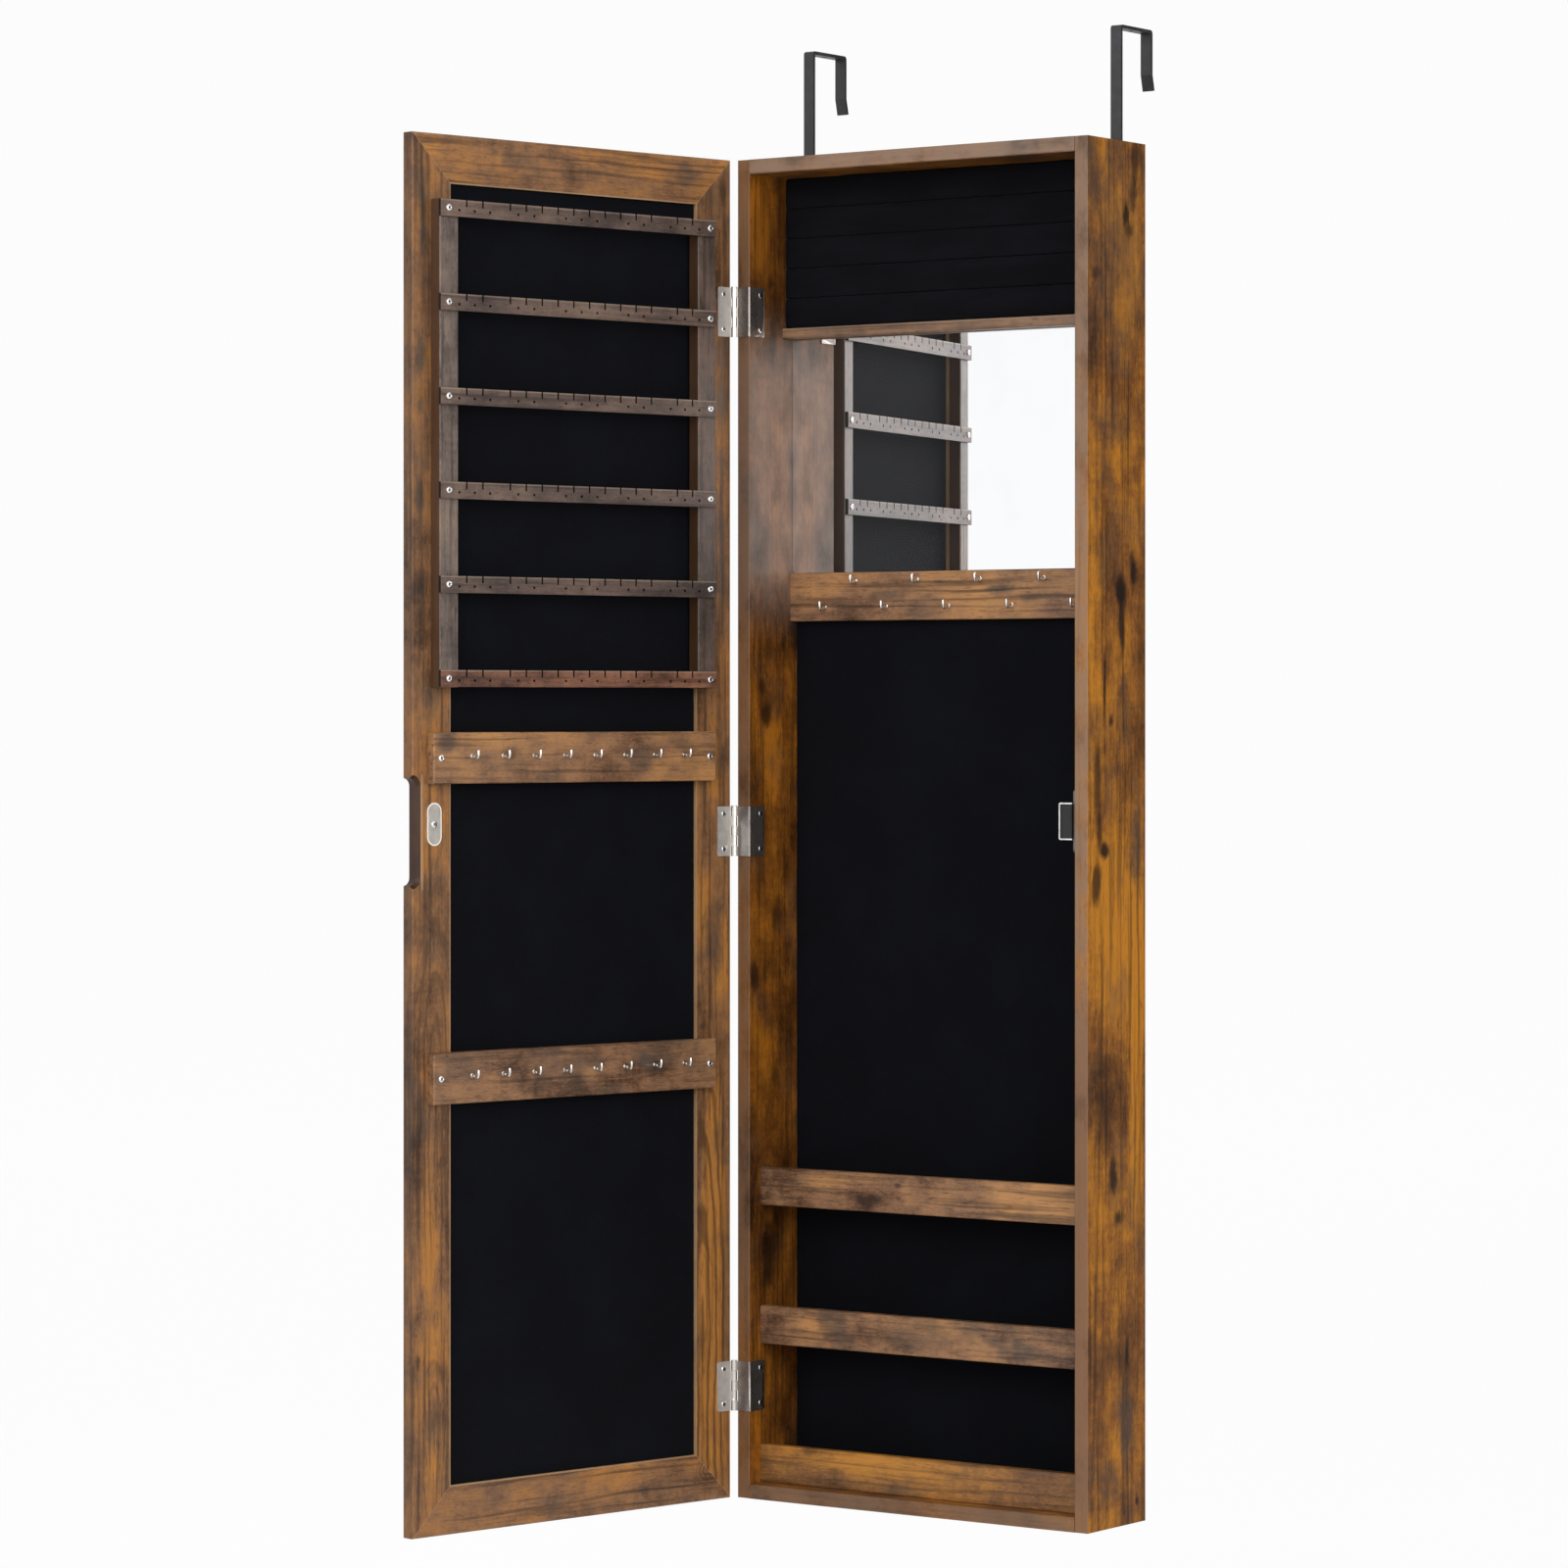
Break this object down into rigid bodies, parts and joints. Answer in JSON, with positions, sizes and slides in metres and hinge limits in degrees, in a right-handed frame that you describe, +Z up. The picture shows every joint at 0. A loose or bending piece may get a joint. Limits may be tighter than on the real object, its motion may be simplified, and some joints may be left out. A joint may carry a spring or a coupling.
{
  "type": "jewelry mirror cabinet",
  "caption": "Tall, shallow jewelry cabinet that hangs over a room door: hinged mirror door with earring bars and hooks, lined case with ring cushion, inner mirror, hooks and trays.",
  "frame": {"origin": "top front edge of the room door that the two straps hook over, midway between the straps; the case's rear plane is Y = 0", "axes": "+X to the viewer's right, +Y towards the room door, +Z up; the door is shown swung open by 102 degrees"},
  "size_m": [0.4617, 0.502, 1.3045],
  "materials": {
    "case": "rustic brown laminate, satin",
    "door_frame": "rustic brown laminate, satin",
    "rack_wood": "dark brown laminate, satin",
    "raw_board": "raw board",
    "black_felt": "felt",
    "black_velvet": "velvet over foam",
    "mirror_glass": "silvered glass",
    "black_steel": "black powder coat",
    "hinge_steel": "satin nickel",
    "magnet": "ferrite",
    "bright_hooks": "bright nickel",
    "bright_screws": "bright nickel"
  },
  "bodies": {
    "cabinet": {"left_side_panel": "case", "right_side_panel": "case", "top_panel": "case", "bottom_panel": "case", "ring_shelf": "case", "inner_hook_board": "case", "lower_guard_rail": "case", "middle_guard_rail": "case", "upper_guard_rail": "case", "middle_tray_shelf": "case", "upper_tray_shelf": "case", "back_board": "raw_board", "hanging_rail": "raw_board", "mirror_backing": "raw_board", "panel_dowels": "raw_board", "back_felt": "black_felt", "ring_cushion": "black_velvet", "inner_mirror": "mirror_glass", "left_hanger_strap": "black_steel", "right_hanger_strap": "black_steel", "upper_cabinet_leaf": "hinge_steel", "middle_cabinet_leaf": "hinge_steel", "lower_cabinet_leaf": "hinge_steel", "hinge_pins": "hinge_steel", "catch_bracket": "hinge_steel", "catch_pole_plates": "hinge_steel", "catch_magnet": "magnet", "inner_hooks": "bright_hooks", "hanger_screws": "bright_screws", "cabinet_leaf_screws": "bright_screws", "catch_screws": "bright_screws"},
    "door": {"free_stile": "door_frame", "hinge_stile": "door_frame", "door_top_rail": "door_frame", "door_bottom_rail": "door_frame", "mitre_splines": "raw_board", "door_mirror": "mirror_glass", "door_backing": "raw_board", "door_felt": "black_felt", "free_side_support": "rack_wood", "hinge_side_support": "rack_wood", "earring_bar_1": "rack_wood", "earring_bar_2": "rack_wood", "earring_bar_3": "rack_wood", "earring_bar_4": "rack_wood", "earring_bar_5": "rack_wood", "earring_bar_6": "rack_wood", "upper_hook_board": "door_frame", "lower_hook_board": "door_frame", "upper_door_hooks": "bright_hooks", "lower_door_hooks": "bright_hooks", "fitting_screws": "bright_screws", "strike_plate": "hinge_steel", "strike_screw": "bright_screws", "upper_door_leaf": "hinge_steel", "middle_door_leaf": "hinge_steel", "lower_door_leaf": "hinge_steel", "door_leaf_screws": "bright_screws"}
  },
  "joints": [
    {"name": "door_swing", "type": "hinge", "parent": "cabinet", "child": "door", "pos_m": [-0.1867, -0.0975, -0.7015], "axis": [0, 0, -1], "range_deg": [-102, 78]}
  ]
}
